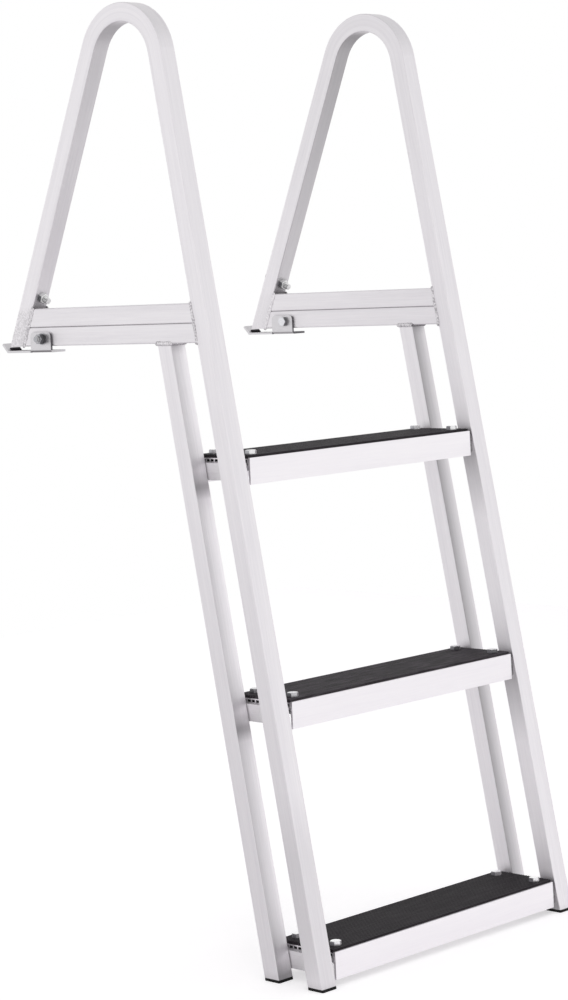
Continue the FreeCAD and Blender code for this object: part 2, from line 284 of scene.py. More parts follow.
def faces_of(tree, place, side, axis):
    """1 on the faces of one frame that look against an axis, or on all its faces where it is None."""
    which = "GREATER_THAN" if side == "right" else "LESS_THAN"
    on_side = add(tree, "ShaderNodeMath", {0: place.outputs[0], 1: BETWEEN_FRAMES}, operation=which)
    if axis is None:
        return on_side
    facing = add(tree, "ShaderNodeSeparateXYZ", {0: add(tree, "ShaderNodeNewGeometry").outputs["Normal"]})
    against = add(tree, "ShaderNodeMapRange", {0: facing.outputs[axis], 1: -0.5, 2: -0.9, 3: 0.0, 4: 1.0})
    return add(tree, "ShaderNodeMath", {0: on_side, 1: against}, operation="MULTIPLY")


def painted_light_and_shade_by_height(tree, side, axis, start, end, share):
    """Painted shade where the share is below 1 and painted light where it is above: on such faces the share
    goes from 1 at the start height to the given one at the end height.
    """
    place = add(tree, "ShaderNodeSeparateXYZ", {0: add(tree, "ShaderNodeTexCoord").outputs["Object"]})
    changing = add(tree, "ShaderNodeMapRange", {0: place.outputs[2], 1: start, 2: end, 3: 1.0, 4: share})
    amount = faces_of(tree, place, side, axis)
    return add(tree, "ShaderNodeMix", {0: amount, 2: 1.0, 3: changing}, data_type="FLOAT")


def painted_shadow_below_steps(tree, darkest, side, axis, fade):
    """A painted shadow under each step: on such faces the share falls from the middle of each deck to its
    underside. fade gives the two depths between which it returns to 1."""
    place = add(tree, "ShaderNodeSeparateXYZ", {0: add(tree, "ShaderNodeTexCoord").outputs["Object"]})
    down = add(tree, "ShaderNodeMath", {0: TOP_DECK, 1: place.outputs[2]}, operation="SUBTRACT")
    below = add(tree, "ShaderNodeMath", {0: down, 1: STEP_RISE}, operation="FLOORED_MODULO")
    falling = add(tree, "ShaderNodeMapRange", {0: below, 1: 0.0, 2: HALF_DECK, 3: 1.0, 4: darkest})
    rising = add(tree, "ShaderNodeMapRange", {0: below, 1: fade[0], 2: fade[1], 3: darkest, 4: 1.0})
    share = add(tree, "ShaderNodeMath", {0: falling, 1: rising}, operation="MAXIMUM")
    painted_shade_below = add(tree, "ShaderNodeMath", {0: down, 1: 0.0}, operation="GREATER_THAN")
    faces = faces_of(tree, place, side, axis)
    amount = add(tree, "ShaderNodeMath", {0: faces, 1: painted_shade_below}, operation="MULTIPLY")
    return add(tree, "ShaderNodeMix", {0: amount, 2: 1.0, 3: share}, data_type="FLOAT")


# %% Mill-finish aluminium
OXIDE = 0.12


def mill_aluminium(name, lines, colour, shade, roughness, depth=0.00002, reach=0.02, darkest=0.5, painted_shading=()):
    """Metal with drawing lines. lines gives the coordinates, shade is the darker colour in a line. The
    thin oxide skin of unpolished aluminium scatters some light, so it isn't metallic all through. The
    last argument lists the helpers that paint light and shade on its faces, each with its values, and
    reach and darkest give painted shade from occlusion."""
    made, tree, shader = new_material(name, Metallic=1.0 - OXIDE)
    place = lines(tree)
    fine = add(tree, "ShaderNodeTexNoise", {"Vector": place, "Scale": 1.0, "Detail": 3.0, "Roughness": 0.6})
    broad = add(tree, "ShaderNodeTexNoise", {"Vector": place, "Scale": 0.12, "Detail": 2.0})
    both = add(tree, "ShaderNodeMix", {0: 0.4, 2: fine, 3: broad}, data_type="FLOAT")
    tone = add(tree, "ShaderNodeValToRGB", {0: both})
    tone.color_ramp.elements[0].position = 0.30
    tone.color_ramp.elements[0].color = linear(shade)
    tone.color_ramp.elements[1].position = 0.70
    tone.color_ramp.elements[1].color = linear(colour)
    rough = add(tree, "ShaderNodeMapRange", {0: both, 1: 0.3, 2: 0.7,
                                             3: roughness + 0.05, 4: roughness - 0.05})
    bump = add(tree, "ShaderNodeBump", {"Strength": 0.25, "Distance": depth, "Height": fine})
    # painted shade from occlusion
    occlusion_shaded = occlusion_shade(tree, reach, darkest)
    shaded_tone = add(tree, "ShaderNodeVectorMath", {0: tone, 3: occlusion_shaded}, operation="SCALE")
    # painted light and shade from the listed helpers
    for helper, *values in painted_shading:
        share = helper(tree, *values)
        shaded_tone = add(tree, "ShaderNodeVectorMath", {0: shaded_tone, 3: share}, operation="SCALE")
    tree.links.new(shaded_tone.outputs[0], shader.inputs["Base Color"])
    tree.links.new(rough.outputs[0], shader.inputs["Roughness"])
    tree.links.new(bump.outputs[0], shader.inputs["Normal"])
    return made


# The lists give painted shade where a share is below 1 and painted light where it is above.
rail_metal = mill_aluminium("aluminium_tube_drawn_bent", along_bent, "#F6F3F6", "#ECE9ED", 0.46,
                            painted_shading=[(painted_shade_front, (1.04, 1.07), (0.80, 0.79), 0.68),
                                  (painted_shadow_below_steps, 0.61, "right", LEFTWARD, (0.018, 0.105)),
                                  (painted_light_and_shade_by_height, "right", LEFTWARD, 0.12, 0.32, 0.94),
                                  (painted_light_and_shade_by_height, "right", LEFTWARD, -0.20, -0.60, 1.07),
                                  (painted_light_and_shade_by_height, "left", None, -0.55, -0.63, 0.91)])
back_rail_metal = mill_aluminium("aluminium_tube_drawn_leaning", along_rail, "#F6F3F6", "#ECE9ED", 0.46,
                                 painted_shading=[(painted_shade_front, (0.74, 1.08), (0.52, 0.95), 1.0),
                                       (painted_shadow_below_steps, 0.58, "left", FORWARD, (0.022, 0.036)),
                                       (painted_light_and_shade_by_height, "left", FORWARD, -0.50, -0.46, 1.08),
                                       (painted_light_and_shade_by_height, "right", LEFTWARD, -0.15, -0.55, 1.08)])
arm_metal = mill_aluminium("aluminium_tube_drawn_level", along_level, "#F4F1F4", "#EBE8EC", 0.46)
print("tube finishes:", rail_metal.name, back_rail_metal.name, arm_metal.name)

# %% Hammer marks by the rear weld
DENTS_PER_METRE = 420.0                      # one every 2.4 mm
MARKS_TOP = 0.062
LEGS_BEHIND = -0.1                           # the rear legs lie behind this Y at that height
tree = rail_metal.node_tree
shader = next(n for n in tree.nodes if n.type == "BSDF_PRINCIPLED")
drawn = shader.inputs["Normal"].links[0].from_socket
plain = shader.inputs["Base Color"].links[0].from_socket
place = add(tree, "ShaderNodeTexCoord").outputs["Object"]
dents = add(tree, "ShaderNodeTexNoise", {"Vector": place, "Scale": DENTS_PER_METRE, "Detail": 1.0})
at = add(tree, "ShaderNodeSeparateXYZ", {0: place})
is_leg = add(tree, "ShaderNodeMath", {0: at.outputs[1], 1: LEGS_BEHIND}, operation="GREATER_THAN")
strong = add(tree, "ShaderNodeMapRange", {0: at.outputs[0], **LEFT_TO_RIGHT, 3: 0.8, 4: 0.15})
low_down = add(tree, "ShaderNodeMapRange", {0: at.outputs[2], 1: MARKS_TOP, 2: MARKS_TOP - 0.010,
                                            3: 0.0, 4: strong})
worked = add(tree, "ShaderNodeMath", {0: is_leg, 1: low_down}, operation="MULTIPLY")
hammered = add(tree, "ShaderNodeBump", {"Strength": worked, "Distance": 0.0003, "Height": dents,
                                        "Normal": drawn})
tree.links.new(hammered.outputs[0], shader.inputs["Normal"])
# painted shade: the hollows of the dents are darker
hollow = add(tree, "ShaderNodeMapRange", {0: dents, 1: 0.62, 2: 0.42, 3: 0.0, 4: 0.22})
dent_shade = add(tree, "ShaderNodeMath", {0: hollow, 1: worked}, operation="MULTIPLY")
unshaded = add(tree, "ShaderNodeMath", {0: 1.0, 1: dent_shade}, operation="SUBTRACT")
marked = add(tree, "ShaderNodeVectorMath", {0: plain, 3: unshaded}, operation="SCALE")
tree.links.new(marked.outputs[0], shader.inputs["Base Color"])
print("hammer marks on the rear legs, up to %.0f mm above the dock" % (MARKS_TOP * 1000))

# %% [markdown]
# ## Deck, mat, plastic and fastener finishes
# The decks are wide extrusions, a little brighter and smoother than the tube, with their drawing lines
# across the ladder. Painted shade darkens the open ends of their chambers almost to black. The angles
# that carry them are darker with painted shade on the right, and lighter, with little painted shade,
# on the left. The mats are moulded rubber, almost black, with a little dust rubbed into streaks along
# the ribs. The streaks are strongest on the middle step, where they also give a painted sheen. In the
# metal beside them the mats are painted lighter where the metal reflects them, a painted reflection.
# Feet and plugs are moulded polyethylene.
#
# Bolts are zinc plated steel, and the brackets are plate with the same plating. Painted shade darkens
# their faces that look left, and on the brackets and a few bolts the faces that look forward. Outdoors,
# zinc grows a white bloom, which shows on the leg bolts, and painted shade darkens their lower faces.
# So one function makes all these finishes, with a value for each.

# %% Other metals
# reach and darkest give painted shade that darkens the open chambers almost to black
deck_metal = mill_aluminium("aluminium_extruded_satin", across_ladder, "#FCF9FC", "#F7F4F8", 0.42, 0.00001,
                            reach=0.006, darkest=0.04)
# the right angles' darker colour and deep occlusion share are painted shade; the left ones have little of it
shaded_angle_metal = mill_aluminium("aluminium_angle_mill_painted_shade", along_level, "#D2CFD3", "#C4C1C5", 0.48,
                             reach=0.03, darkest=0.30)
lightly_shaded_angle_metal = mill_aluminium("aluminium_angle_mill_light_painted_shade", along_level, "#F8F6F8", "#EEECEE", 0.48,
                                   reach=0.006, darkest=0.80)
print("deck and angle finishes:", deck_metal.name, shaded_angle_metal.name, lightly_shaded_angle_metal.name)

# %% Painted shade on faces that look forward
PLATE = 0.003                                # thickness of the bracket's plate
LIP_BEHIND = -0.003                          # the bracket's lip lies behind this Y, its ear in front
PLATING_CLOUDS_PER_METRE = 350.0             # one every 3 mm


def forward_shade_share(tree, place, facing, left):
    """How much painted shade for faces that look forward a face takes. Faces that look forward take it in
    full above the plate, and in the plate more on the right bracket. The bend at the foot of an ear takes
    it on its left. The lip takes none."""
    forward = add(tree, "ShaderNodeMapRange", {0: facing.outputs[1], 1: -0.55, 2: -0.85, 3: 0.0, 4: 1.0})
    at = add(tree, "ShaderNodeSeparateXYZ", {0: place})
    in_plate = add(tree, "ShaderNodeMapRange", {0: at.outputs[0], **LEFT_TO_RIGHT, 3: 0.25, 4: 1.0})
    above = add(tree, "ShaderNodeMapRange", {0: at.outputs[2], 1: PLATE - 0.0002, 2: PLATE + 0.0004,
                                             3: in_plate, 4: 1.0})
    edge = add(tree, "ShaderNodeMath", {0: forward, 1: above}, operation="MULTIPLY")
    in_bend = add(tree, "ShaderNodeMapRange", {0: at.outputs[0], **LEFT_TO_RIGHT, 3: 0.85, 4: 0.45})
    low = add(tree, "ShaderNodeMapRange", {0: at.outputs[2], 1: PLATE + 0.0004, 2: PLATE - 0.0008,
                                           3: 0.0, 4: in_bend})
    foot = add(tree, "ShaderNodeMath", {0: left, 1: low}, operation="MULTIPLY")
    either = add(tree, "ShaderNodeMath", {0: edge, 1: foot}, operation="MAXIMUM")
    in_front = add(tree, "ShaderNodeMath", {0: at.outputs[1], 1: LIP_BEHIND}, operation="LESS_THAN")
    return add(tree, "ShaderNodeMath", {0: either, 1: in_front}, operation="MULTIPLY")


# %% Zinc plating
def plated_steel(name, colour, painted_left_shade, roughness, reach, darkest, painted_forward_shade=None, painted_shade_below=None, bloom=0.0):
    """Bright zinc plating with the slight cloudiness that the bath leaves. The second colour is painted
    shade on faces that look left, and the colours given for faces that look forward and for faces that
    look down are painted shade too. reach and darkest give painted shade from occlusion. bloom is the
    share of white zinc oxide, which isn't metallic."""
    made, tree, shader = new_material(name, Metallic=1.0 - bloom)
    place = add(tree, "ShaderNodeTexCoord").outputs["Object"]
    cloud = add(tree, "ShaderNodeTexNoise", {"Vector": place, "Scale": PLATING_CLOUDS_PER_METRE,
                                             "Detail": 3.0})
    rough = add(tree, "ShaderNodeMapRange", {0: cloud, 1: 0.3, 2: 0.7,
                                             3: roughness - 0.06, 4: roughness + 0.06})
    facing = add(tree, "ShaderNodeSeparateXYZ", {0: add(tree, "ShaderNodeNewGeometry").outputs["Normal"]})
    left = add(tree, "ShaderNodeMapRange", {0: facing.outputs[0], 1: -0.35, 2: -0.80, 3: 0.0, 4: 1.0})
    # painted shade on faces that look left
    tone = add(tree, "ShaderNodeMix", {0: left, 6: linear(colour), 7: linear(painted_left_shade)}, data_type="RGBA")
    # painted shade on faces that look forward
    if painted_forward_shade:
        cut = forward_shade_share(tree, place, facing, left)
        tone = add(tree, "ShaderNodeMix", {0: cut, 6: tone.outputs[2], 7: linear(painted_forward_shade)},
                   data_type="RGBA")
    # painted shade on faces that look down
    if painted_shade_below:
        down = add(tree, "ShaderNodeMapRange", {0: facing.outputs[2], 1: -0.48, 2: -0.75, 3: 0.0, 4: 1.0})
        tone = add(tree, "ShaderNodeMix", {0: down, 6: tone.outputs[2], 7: linear(painted_shade_below)},
                   data_type="RGBA")
    # painted shade from occlusion
    occlusion_shaded = occlusion_shade(tree, reach, darkest)
    shaded_tone = add(tree, "ShaderNodeVectorMath", {0: tone.outputs[2], 3: occlusion_shaded}, operation="SCALE")
    tree.links.new(shaded_tone.outputs[0], shader.inputs["Base Color"])
    tree.links.new(rough.outputs[0], shader.inputs["Roughness"])
    return made


bolt_metal = plated_steel("steel_bright_zinc_plated", "#FFFFFF", "#B0B0B4", 0.22, 0.002, 0.55)
bracket_metal = plated_steel("steel_plate_zinc_plated", "#E8E6E9", "#DAD8DB", 0.40, 0.006, 0.75, "#6A686B")
# darker painted shade on faces that look left and forward
shaded_bolt_metal = plated_steel("steel_zinc_plated_painted_shade", "#E8E8EA", "#B0B0B4", 0.30, 0.003, 0.50, "#68686A")
# painted shade on the sides that look forward
side_shaded_bolt_metal = plated_steel("steel_zinc_plated_painted_side_shade", "#F4F4F6", "#E2E2E6", 0.28, 0.003, 0.60,
                                   "#88888A")
bloomed_bolt_metal = plated_steel("steel_zinc_plated_bloomed", "#FFFFFF", "#5E5E62", 0.30, 0.002, 0.45,
                                  painted_shade_below="#2C2C2E", bloom=0.7)
thread_metal = plated_steel("steel_zinc_thread_bloomed", "#FFFFFF", "#FFFFFF", 0.30, 0.001, 0.95,
                            painted_shade_below="#4C4C4E", bloom=0.9)
print("plated finishes:", sum(m.name.startswith("steel_") for m in bpy.data.materials))


# %% Rubber and plastic
def moulded(name, colour, roughness, gloss, grain, depth):
    """Moulded rubber or plastic with a fine grain of the given size in metres."""
    made, tree, shader = new_material(name, Base_Color=linear(colour), Roughness=roughness,
                                      Specular_IOR_Level=gloss)
    place = add(tree, "ShaderNodeTexCoord").outputs["Object"]
    grains = add(tree, "ShaderNodeTexNoise", {"Vector": place, "Scale": 1 / grain, "Detail": 2.0})
    bump = add(tree, "ShaderNodeBump", {"Strength": 0.4, "Distance": depth, "Height": grains})
    tree.links.new(bump.outputs[0], shader.inputs["Normal"])
    return made


mat_rubber = moulded("rubber_moulded_black", "#181218", 0.58, 0.25, 0.0015, 0.00003)
cap_plastic = moulded("polyethylene_moulded_black", "#0C0C0C", 0.55, 0.2, 0.0012, 0.00005)
print("moulded finishes:", mat_rubber.name, cap_plastic.name)

# %% Dust and painted sheen on the mats
MIDDLE_MAT = -0.4416                         # height of the middle mat
STREAK_LENGTH, STREAK_WIDTH = 0.040, 0.0022
tree = mat_rubber.node_tree
shader = next(n for n in tree.nodes if n.type == "BSDF_PRINCIPLED")
place = add(tree, "ShaderNodeTexCoord").outputs["Object"]
along_ribs = (1 / STREAK_LENGTH, 1 / STREAK_WIDTH, 1 / STREAK_WIDTH)
stretched = add(tree, "ShaderNodeVectorMath", {0: place, 1: along_ribs}, operation="MULTIPLY")
streaks = add(tree, "ShaderNodeTexNoise", {"Vector": stretched, "Scale": 1.0, "Detail": 2.0})
height = add(tree, "ShaderNodeSeparateXYZ", {0: place}).outputs[2]
off_middle = add(tree, "ShaderNodeMath", {0: height, 1: MIDDLE_MAT}, operation="SUBTRACT")
away = add(tree, "ShaderNodeMath", {0: off_middle}, operation="ABSOLUTE")
# the dust streaks are strongest on the middle mat, where they also give it a painted sheen
amount = add(tree, "ShaderNodeMapRange", {0: away, 1: 0.02, 2: 0.30, 3: 1.0, 4: 0.25})
dust_and_sheen = add(tree, "ShaderNodeMapRange", {0: streaks, 1: 0.44, 2: 0.70, 3: 0.15, 4: 1.0})
share = add(tree, "ShaderNodeMath", {0: dust_and_sheen, 1: amount}, operation="MULTIPLY")
tone = add(tree, "ShaderNodeMix", {0: share, 6: linear("#181218"), 7: linear("#4C464C")}, data_type="RGBA")
# painted reflection: metal sees the mats lighter than they are
rays = add(tree, "ShaderNodeLightPath")
painted_lighter_in_reflections = add(tree, "ShaderNodeMix", {0: rays.outputs["Is Glossy Ray"], 6: tone.outputs[2],
                                       7: linear("#A29EA2")}, data_type="RGBA")
tree.links.new(painted_lighter_in_reflections.outputs[2], shader.inputs["Base Color"])
print("dust on the mats, most on the middle one")

# %% Put the finishes on the CAD nodes
STEPS = ("top", "middle", "bottom")
finish_of = {"rail": rail_metal, "back_rail": back_rail_metal, "arm": arm_metal,
             "foot": cap_plastic, "plug": cap_plastic, "pad": mat_rubber, "mat": mat_rubber,
             "deck": deck_metal, "angle": shaded_angle_metal, "bracket": bracket_metal, "bolts": bolt_metal,
             "leg_bolt": bloomed_bolt_metal, "right_bracket_bolt": side_shaded_bolt_metal,
             "left_bracket_bolt": shaded_bolt_metal, "middle_step_bolts": shaded_bolt_metal}
for step in STEPS:
    finish_of["left_%s_angle" % step] = lightly_shaded_angle_metal
nodes = {o["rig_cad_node"]: o for o in bpy.context.scene.objects if "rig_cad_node" in o}
for name, piece in nodes.items():
    ending = max((e for e in finish_of if name.endswith(e)), key=len)
    for slot in piece.material_slots:
        slot.material = finish_of[ending]
print("finishes on", len(nodes), "nodes")

# %% [markdown]
# ## Weld beads
# The arms, back rails and angles are welded on. A bead laid by hand is a row of ripples, each a
# small puddle that froze before the next one was added, like a fallen row of coins. So one ripple is
# modelled, a low dome with its crest pushed forward, and copied along each seam, every copy a little
# different. That shows the overlap that a swept profile would lose. Each ripple has few faces,
# because there are hundreds of them. The weld metal is cloudy, and painted shade darkens the grooves
# between its ripples. The seams in narrow gaps get a darker weld finish, which is painted shade. One
# open seam, at the right rear, was brushed until it is almost as pale as the tube.

# %% Weld metal
WELD_CLOUDS_PER_METRE = 400.0                # one every 2.5 mm


def weld(name, dark, light, darkest):
    """Weld metal, cloudy between two tones, with painted shade in its grooves as dark as the share says."""
    made, tree, shader = new_material(name, Metallic=1.0)
    place = add(tree, "ShaderNodeTexCoord").outputs["Object"]
    cloud = add(tree, "ShaderNodeTexNoise", {"Vector": place, "Scale": WELD_CLOUDS_PER_METRE,
                                             "Detail": 3.0})
    tone = add(tree, "ShaderNodeValToRGB", {0: cloud})
    tone.color_ramp.elements[0].position = 0.35
    tone.color_ramp.elements[0].color = linear(dark)
    tone.color_ramp.elements[1].position = 0.60
    tone.color_ramp.elements[1].color = linear(light)
    rough = add(tree, "ShaderNodeMapRange", {0: cloud, 1: 0.3, 2: 0.7, 3: 0.55, 4: 0.35})
    occlusion_shaded = occlusion_shade(tree, 0.003, darkest)
    shaded_tone = add(tree, "ShaderNodeVectorMath", {0: tone, 3: occlusion_shaded}, operation="SCALE")
    tree.links.new(shaded_tone.outputs[0], shader.inputs["Base Color"])
    tree.links.new(rough.outputs[0], shader.inputs["Roughness"])
    return made


weld_metal = weld("aluminium_weld_as_laid", "#B8B5B9", "#ECE9EC", 0.45)
# painted shade: a darker weld for the seams in narrow gaps
shaded_weld_metal = weld("aluminium_weld_painted_shade", "#6E6B6F", "#959296", 0.40)
brushed_weld_metal = weld("aluminium_weld_brushed", "#DDDADE", "#F2EFF2", 0.72)
print("weld finishes:", weld_metal.name, shaded_weld_metal.name, brushed_weld_metal.name)

# %% One ripple
bpy.ops.object.select_all(action="DESELECT")
bpy.ops.mesh.primitive_uv_sphere_add(segments=10, ring_count=8, radius=1.0)
ripple = bpy.context.object
bpy.ops.object.mode_set(mode="EDIT")
bpy.ops.mesh.select_all(action="SELECT")
bpy.ops.mesh.bisect(plane_co=(0, 0, -0.35), plane_no=(0, 0, 1), clear_inner=True, use_fill=True)
bpy.ops.object.mode_set(mode="OBJECT")
for polygon in ripple.data.polygons:
    polygon.select = False
for edge in ripple.data.edges:
    edge.select = False
for vertex in ripple.data.vertices:
    vertex.select = vertex.co.z > 0.3
bpy.ops.object.mode_set(mode="EDIT")
bpy.ops.transform.translate(value=(0.0, 0.35, 0.0))
bpy.ops.object.mode_set(mode="OBJECT")
bpy.ops.object.shade_smooth()
print("ripple faces:", len(ripple.data.polygons))

# %% Copies into one piece
def copies_of(piece, places):
    """Copies of a piece, each with its own mesh, at the places that the matrices give."""
    copies = []
    for place in places:
        copy = piece.copy()
        copy.data = piece.data.copy()
        bpy.context.collection.objects.link(copy)
        copy.matrix_world = place
        copies.append(copy)
    return copies


def join(name, copies, finish):
    """Make the copies one piece, with its place in its mesh."""
    bpy.ops.object.select_all(action="DESELECT")
    for copy in copies:
        copy.select_set(True)
    bpy.context.view_layer.objects.active = copies[0]
    if len(copies) > 1:
        bpy.ops.object.join()
    joined = bpy.context.object
    bpy.ops.object.transform_apply(location=True, rotation=True, scale=True)
    joined.name = joined.data.name = name
    joined.data.materials.clear()
    joined.data.materials.append(finish)
    return joined


# %% Lay a bead
chance = random.Random(11)


def bead(name, start, end, outward, width, height, pitch=0.0017, lift=0.0):
    """Copy the ripple along a seam. outward points away from the metal, lift raises the row along it."""
    start, end, outward = Vector(start), Vector(end), Vector(outward).normalized()
    along = (end - start).normalized()
    across = along.cross(outward).normalized()
    count = max(2, round((end - start).length / pitch))
    places = []
    for i in range(count):
        size = chance.uniform(0.88, 1.12)
        spot = start + (end - start) * ((i + 0.5) / count) + across * chance.uniform(-0.06, 0.06) * width
        axes = Matrix((across * width / 2 * size, along * pitch * 1.5, outward * height * size))
        twist = Matrix.Rotation(chance.uniform(-0.25, 0.25), 4, "Z")
        places.append(Matrix.Translation(spot + outward * lift) @ axes.transposed().to_4x4() @ twist)
    joined = join(name, copies_of(ripple, places), weld_metal)
    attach(joined, "root")


# %% Seams of the arms
ARM_LOW, ARM_HIGH = 0.0086, 0.0594           # heights of the lower arm's underside and the upper arm's top
REAR_SEAM = 0.0015                           # how far the rear seams lie ahead of the leg's front face
frame_x = {side: sum(v[0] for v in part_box(side + "_rail")) / 2 for side in ("left", "right")}


def rail_back_face(z):
    """Y of the back face of the front rail at a height."""
    return FRONT_RAIL + math.tan(RAIL_LEAN) * z + HALF / math.cos(RAIL_LEAN)


leg_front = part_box("left_lower_arm")[1][1]


def leg_front_face(z):
    """Y of the front face of the rear leg at a height."""
    return leg_front - math.tan(LEG_LEAN) * (z - ARM_LOW)


for side, x in frame_x.items():
    for face, sign in (("left", -1.0), ("right", 1.0)):
        skin = x + sign * HALF
        bead("%s_weld_arm_front_%s" % (side, face), (skin, rail_back_face(ARM_LOW), ARM_LOW),
             (skin, rail_back_face(ARM_HIGH), ARM_HIGH), (sign, 0, 0), 0.0048, 0.0009)
        bead("%s_weld_arm_rear_%s" % (side, face), (skin, leg_front_face(ARM_LOW) - REAR_SEAM, ARM_LOW),
             (skin, leg_front_face(ARM_HIGH) - REAR_SEAM, ARM_HIGH), (sign, 0, 0), 0.0068, 0.0006, 0.0020)
    bead("%s_weld_arm_top_front" % side, (x - HALF, rail_back_face(ARM_HIGH), ARM_HIGH),
         (x + HALF, rail_back_face(ARM_HIGH), ARM_HIGH), (0, 1, 1), 0.0050, 0.0016, lift=0.0008)
    bead("%s_weld_arm_top_rear" % side, (x + HALF, leg_front_face(ARM_HIGH), ARM_HIGH),
         (x - HALF, leg_front_face(ARM_HIGH), ARM_HIGH), (0, -0.6, 1), 0.0022, 0.0007, lift=0.0001)
    bead("%s_weld_arm_bottom_front" % side, (x + HALF, rail_back_face(ARM_LOW), ARM_LOW),
         (x - HALF, rail_back_face(ARM_LOW), ARM_LOW), (0, 1, -1), 0.0050, 0.0016, lift=0.0008)
print("arm seams done")

# %% Seams of the back rails
RAIL_GAP = 0.0752                            # front rail to back rail, level
back_centre = FRONT_RAIL + RAIL_GAP + math.tan(RAIL_LEAN) * ARM_LOW
back_half = HALF / math.cos(RAIL_LEAN)
for side, x in frame_x.items():
    front, rear = back_centre - back_half, back_centre + back_half
    for face, sign in (("left", -1.0), ("right", 1.0)):
        skin = x + sign * HALF
        bead("%s_weld_back_rail_%s" % (side, face), (skin, front, ARM_LOW), (skin, rear, ARM_LOW),
             (sign, 0, 0), 0.0058, 0.0011)
    bead("%s_weld_back_rail_front" % side, (x - HALF, front, ARM_LOW), (x + HALF, front, ARM_LOW),
         (0, -1, -1), 0.0052, 0.0017, lift=0.0008)
    bead("%s_weld_back_rail_rear" % side, (x + HALF, rear, ARM_LOW), (x - HALF, rear, ARM_LOW),
         (0, 1, -1), 0.0052, 0.0017, lift=0.0008)
print("back rail seams done")

# %% Seams of the angles
for side, inward in (("left", 1.0), ("right", -1.0)):
    skin = frame_x[side] + inward * HALF
    for step in STEPS:
        low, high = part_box("%s_%s_angle" % (side, step))
        bead("%s_weld_%s_angle_front" % (side, step), (skin, low[1], low[2]), (skin, low[1], high[2]),
             (inward, -1, 0), 0.0044, 0.0013, lift=0.0005)
        bead("%s_weld_%s_angle_rear" % (side, step), (skin, high[1], high[2]), (skin, high[1], low[2]),
             (inward, 1, 0), 0.0044, 0.0013, lift=0.0005)
bpy.data.objects.remove(ripple)
print("angle seams done")

# %% Painted shade on the seams in the gaps
shade_painted_seams = [o for o in bpy.data.objects if "_angle_front" in o.name or o.name == "right_weld_back_rail_front"]
for joined in shade_painted_seams:
    joined.data.materials[0] = shaded_weld_metal
bpy.data.objects["right_weld_arm_rear_left"].data.materials[0] = brushed_weld_metal
print("sooty seams:", len(shade_painted_seams))

# %% [markdown]
# ## Screw threads
# The shanks of the CAD bolts are plain rods. A real thread is cut in a spiral that climbs 1.25 mm a
# turn on an 8 mm bolt. One turn is made as a lathe would cut it: a small square on its corner, carried
# round the axis by a Screw modifier while it climbs one pitch. The turn is then copied along the end
# of each bolt that stands out of its nut.

# %% One turn of thread
PITCH = 0.00125
SHANK = 0.0040                               # radius of the bolt
RIDGE = 0.0006                               # from the middle of the small square to its corner
FIRST_TURN = 1.6                             # pitches from the tip
bpy.ops.object.select_all(action="DESELECT")
bpy.ops.mesh.primitive_circle_add(vertices=4, radius=RIDGE, location=(SHANK - RIDGE / 2, 0, 0),
                                  rotation=(math.radians(90), 0, 0))
turn = bpy.context.object
bpy.ops.object.transform_apply(location=True, rotation=True, scale=True)
screw = turn.modifiers.new("screw", "SCREW")
screw.angle, screw.screw_offset, screw.iterations = math.radians(360), PITCH, 1
screw.steps = screw.render_steps = 20
screw.use_merge_vertices = False
bpy.ops.object.modifier_apply(modifier="screw")
bpy.ops.object.mode_set(mode="EDIT")
bpy.ops.mesh.select_all(action="SELECT")
bpy.ops.mesh.fill_holes(sides=4)
bpy.ops.mesh.normals_make_consistent(inside=False)
bpy.ops.object.mode_set(mode="OBJECT")
print("faces in a turn of thread:", len(turn.data.polygons))


# %% Cut the threads
def thread(name, tip, along, turns, finish=bolt_metal):
    """Copy the turn along a bolt's end. tip is the middle of that end, along points out of the bolt."""
    tip, along = Vector(tip), Vector(along).normalized()
    to_axis = Vector((0, 0, 1)).rotation_difference(along).to_matrix().to_4x4()
    places = [Matrix.Translation(tip - along * PITCH * (i + FIRST_TURN)) @ to_axis for i in range(turns)]
    cut = join(name, copies_of(turn, places), finish)
    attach(cut, "root")


for side, outward in (("left", -1.0), ("right", 1.0)):
    low, high = (Vector(c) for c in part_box(side + "_bracket_bolt"))
    end = low.x if side == "left" else high.x
    centre = (low + high) / 2
    thread(side + "_bracket_bolt_thread", (end, centre.y, centre.z), (outward, 0, 0), 3)
print("bracket bolts have threads")

# %% Threads of the rear legs
LEG_NORMAL = Vector((0, -math.cos(LEG_LEAN), -math.sin(LEG_LEAN)))
for side, x in frame_x.items():
    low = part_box(side + "_leg_bolt")[0]
    tip = (x, low[1] + SHANK * math.sin(LEG_LEAN), low[2] + SHANK * math.cos(LEG_LEAN))
    thread(side + "_leg_bolt_thread", tip, LEG_NORMAL, 6, thread_metal)
print("leg bolts have threads")

# %% Threads of the step bolts
WASHER = 0.008                               # radius of a washer
for step in STEPS:
    low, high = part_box(step + "_step_bolts")
    corners = [(x, y) for x in (low[0] + WASHER, high[0] - WASHER)
               for y in (low[1] + WASHER, high[1] - WASHER)]
    for number, (x, y) in enumerate(corners, 1):
        thread("%s_step_bolt_thread_%d" % (step, number), (x, y, low[2]), (0, 0, -1), 1)
bpy.data.objects.remove(turn)
print("step bolts have threads")

# %% [markdown]
# ## Floor and light
# The ladder stands on a pale floor in front of a plain white ground, as in a product picture. Floor and
# sky are lifted to white where the camera sees them. Metal sees the floor darker, most behind the
# ladder, and the sky darker overhead, and that gives its faces their different greys. The light comes
# from a few large soft lamps, hardly brighter than the sky. Metal doesn't mirror them, so it stays even.

# %% Floor
LOWEST = cad_box[0][2]
FLOOR_SIZE = 5.2
bpy.ops.mesh.primitive_plane_add(size=FLOOR_SIZE, location=(0.23, -0.25, LOWEST))
floor = bpy.context.object
floor.name = "floor"

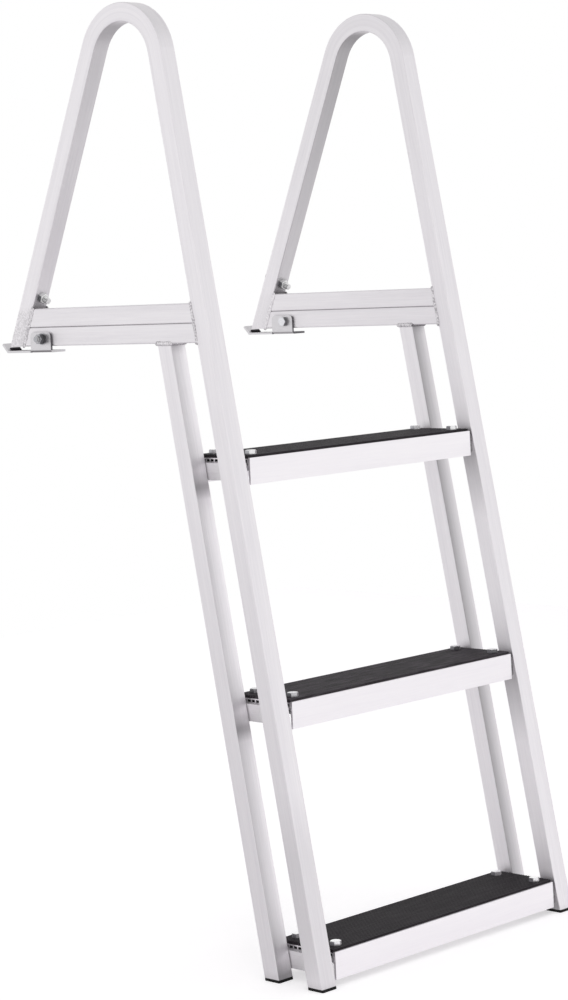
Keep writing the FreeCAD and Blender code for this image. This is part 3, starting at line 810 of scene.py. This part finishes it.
paper, tree, shader = new_material("paper_white_ground", Base_Color=linear("#D9D7D9"), Roughness=0.9)
output = next(n for n in tree.nodes if n.type == "OUTPUT_MATERIAL")
rays = add(tree, "ShaderNodeLightPath")
seen_by_camera = add(tree, "ShaderNodeMath", {0: rays.outputs["Is Camera Ray"], 1: 0.48},
                     operation="MULTIPLY")
ground = add(tree, "ShaderNodeTexCoord").outputs["Object"]
depth = add(tree, "ShaderNodeSeparateXYZ", {0: ground}).outputs[1]
to_the_back = add(tree, "ShaderNodeMapRange", {0: depth, 1: -0.24, 2: -0.13, 3: 0.44, 4: 0.10})
seen_by_metal = add(tree, "ShaderNodeMath", {0: rays.outputs["Is Glossy Ray"], 1: to_the_back},
                    operation="MULTIPLY")
strength = add(tree, "ShaderNodeMath", {0: seen_by_camera, 1: seen_by_metal}, operation="ADD")
lift = add(tree, "ShaderNodeEmission", {"Color": (1, 1, 1, 1), "Strength": strength})
lifted = add(tree, "ShaderNodeAddShader", {0: shader, 1: lift})
tree.links.new(lifted.outputs[0], output.inputs["Surface"])
floor.data.materials.append(paper)
print("floor %.1f m wide at %.3f m" % (FLOOR_SIZE, LOWEST))

# %% Sky
world = bpy.data.worlds.new("white_sky")
bpy.context.scene.world = world
world.use_nodes = True
tree = world.node_tree
tree.nodes.clear()
rays = add(tree, "ShaderNodeLightPath")
direction = add(tree, "ShaderNodeTexCoord").outputs["Generated"]
height = add(tree, "ShaderNodeSeparateXYZ", {0: direction}).outputs[2]
ceiling = add(tree, "ShaderNodeMapRange", {0: height, 1: 0.15, 2: 0.75, 3: 1.0, 4: 0.66})
seen = add(tree, "ShaderNodeMath", {0: rays.outputs["Is Camera Ray"],
                                    1: rays.outputs["Is Transmission Ray"]}, operation="MAXIMUM")
plain = add(tree, "ShaderNodeMix", {0: seen, 2: 0.60, 3: 1.0}, data_type="FLOAT")
strength = add(tree, "ShaderNodeMix", {0: rays.outputs["Is Glossy Ray"], 2: plain, 3: ceiling},
               data_type="FLOAT")
sky = add(tree, "ShaderNodeBackground", {"Color": (1, 1, 1, 1), "Strength": strength})
add(tree, "ShaderNodeOutputWorld", {"Surface": sky})
print("sky nodes:", len(tree.nodes))


# %% Lamps
def soft_lamp(name, place, aim, width, height, brightness):
    """A rectangular lamp that looks at a point. A brightness of 1 is about that of a white sky."""
    bpy.ops.object.light_add(type="AREA", location=place)
    lamp = bpy.context.object
    lamp.name = name
    lamp.data.shape = "RECTANGLE"
    lamp.data.size, lamp.data.size_y = width, height
    lamp.data.energy = brightness * math.pi * width * height
    lamp.rotation_euler = (Vector(aim) - Vector(place)).to_track_quat("-Z", "Y").to_euler()
    lamp.visible_glossy = False


middle = (0.23, -0.30, -0.15)
soft_lamp("lamp_front_left", (-3.0, -3.4, 0.9), middle, 2.4, 2.0, 1.6)
soft_lamp("lamp_back", (1.5, 3.4, 1.2), middle, 2.4, 2.0, 0.8)
soft_lamp("lamp_top", (0.2, -0.5, 3.2), middle, 2.2, 2.2, 1.8)
print("lamps:", len(bpy.data.lights))

# %% [markdown]
# ## View and count
# The Standard view shows a colour about as it is written. The pieces added here are counted.

# %% View and count
bpy.context.scene.view_settings.view_transform = "Standard"
added = [o for o in bpy.context.scene.objects if o.type == "MESH" and "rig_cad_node" not in o and o != floor]
print("pieces added:", len(added))
